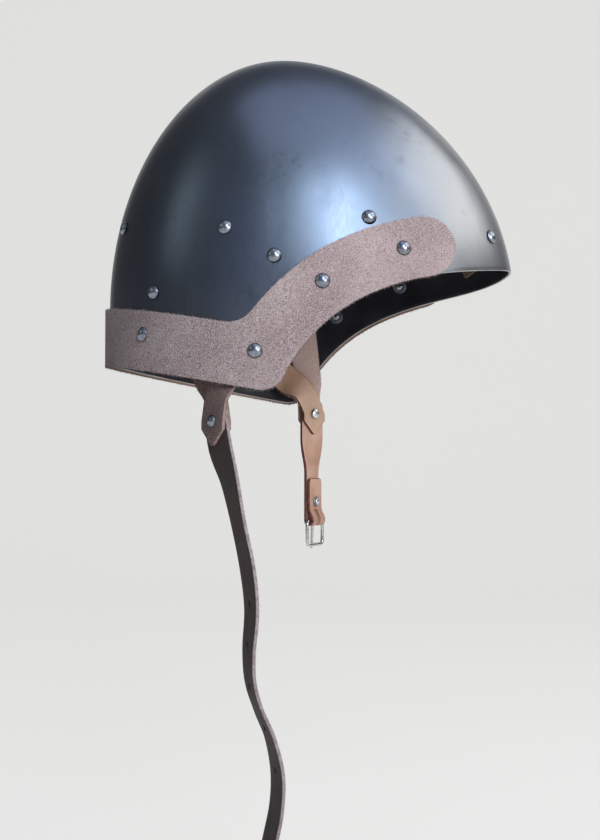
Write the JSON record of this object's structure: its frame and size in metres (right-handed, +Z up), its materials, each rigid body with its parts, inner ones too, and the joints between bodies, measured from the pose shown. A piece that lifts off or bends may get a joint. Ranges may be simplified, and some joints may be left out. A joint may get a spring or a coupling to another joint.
{
  "type": "bascinet",
  "caption": "Open-faced early bascinet skull with a leather-banded edge, crossed liner straps and a Y-shaped chin harness closed by a wire buckle.",
  "frame": {"origin": "where the wearer's crown meets the underside of the crossed liner straps, on the crown's axis", "axes": "+X forward out of the brow, +Y to the wearer's left, +Z up"},
  "size_m": [0.2731, 0.2176, 0.536],
  "materials": {
    "blued_steel": "blued and burnished outside, black inside",
    "band_leather": "suede, flesh side out",
    "liner_leather": "matte",
    "harness_leather": "suede",
    "dark_leather": "matte, pale cut edges",
    "tan_leather": "smooth grain",
    "rivet_steel": "polished heads, peened tails",
    "wire_steel": "bright wire"
  },
  "bodies": {
    "shell": {"skull": "blued_steel", "leather_band": "band_leather", "band_rivets": "rivet_steel", "band_washers": "rivet_steel", "liner_rivets": "rivet_steel", "liner_washers": "rivet_steel", "liner_strap_1": "liner_leather", "liner_strap_2": "liner_leather", "liner_strap_3": "liner_leather", "liner_strap_4": "liner_leather", "crown_rivet": "rivet_steel", "crown_washer": "rivet_steel", "harness_rivets": "rivet_steel", "harness_washers": "rivet_steel"},
    "right_harness": {"right_front_leg": "harness_leather", "right_rear_leg": "harness_leather", "right_joint_rivet": "rivet_steel", "right_joint_washer": "rivet_steel"},
    "right_strap": {"chin_strap": "dark_leather"},
    "left_harness": {"left_front_leg": "harness_leather", "left_rear_leg": "harness_leather", "left_joint_rivet": "rivet_steel", "left_joint_washer": "rivet_steel"},
    "left_strap": {"buckle_strap": "tan_leather", "buckle_strap_rivet": "rivet_steel", "buckle_strap_washer": "rivet_steel"},
    "buckle": {"buckle_frame": "wire_steel"},
    "tongue": {"buckle_tongue": "wire_steel"}
  },
  "joints": [
    {"name": "right_harness_swing", "type": "hinge", "parent": "shell", "child": "right_harness", "pos_m": [-0.03386, -0.08599, -0.12781], "axis": [0.927, -0.2968, 0.2292], "range_deg": [0, 40], "deforming": ["right_front_leg", "right_rear_leg"]},
    {"name": "right_strap_swing", "type": "hinge", "parent": "right_harness", "child": "right_strap", "pos_m": [-0.03232, -0.0918, -0.2181], "axis": [-0.6712, -0.7412, 0], "range_deg": [-60, 60]},
    {"name": "left_harness_swing", "type": "hinge", "parent": "shell", "child": "left_harness", "pos_m": [-0.03386, 0.08599, -0.12781], "axis": [-0.927, -0.2968, -0.2292], "range_deg": [0, 40], "deforming": ["left_front_leg", "left_rear_leg"]},
    {"name": "left_strap_swing", "type": "hinge", "parent": "left_harness", "child": "left_strap", "pos_m": [0.0147, 0.09713, -0.2071], "axis": [-0.6797, 0.7334, 0], "range_deg": [-60, 60]},
    {"name": "buckle_swing", "type": "hinge", "parent": "left_strap", "child": "buckle", "pos_m": [0.01737, 0.09599, -0.2861], "axis": [0.3936, 0.9193, 0], "range_deg": [-75, 45]},
    {"name": "tongue_swing", "type": "hinge", "parent": "buckle", "child": "tongue", "pos_m": [0.01737, 0.09599, -0.2861], "axis": [0.3936, 0.9193, 0], "range_deg": [0, 80]}
  ]
}
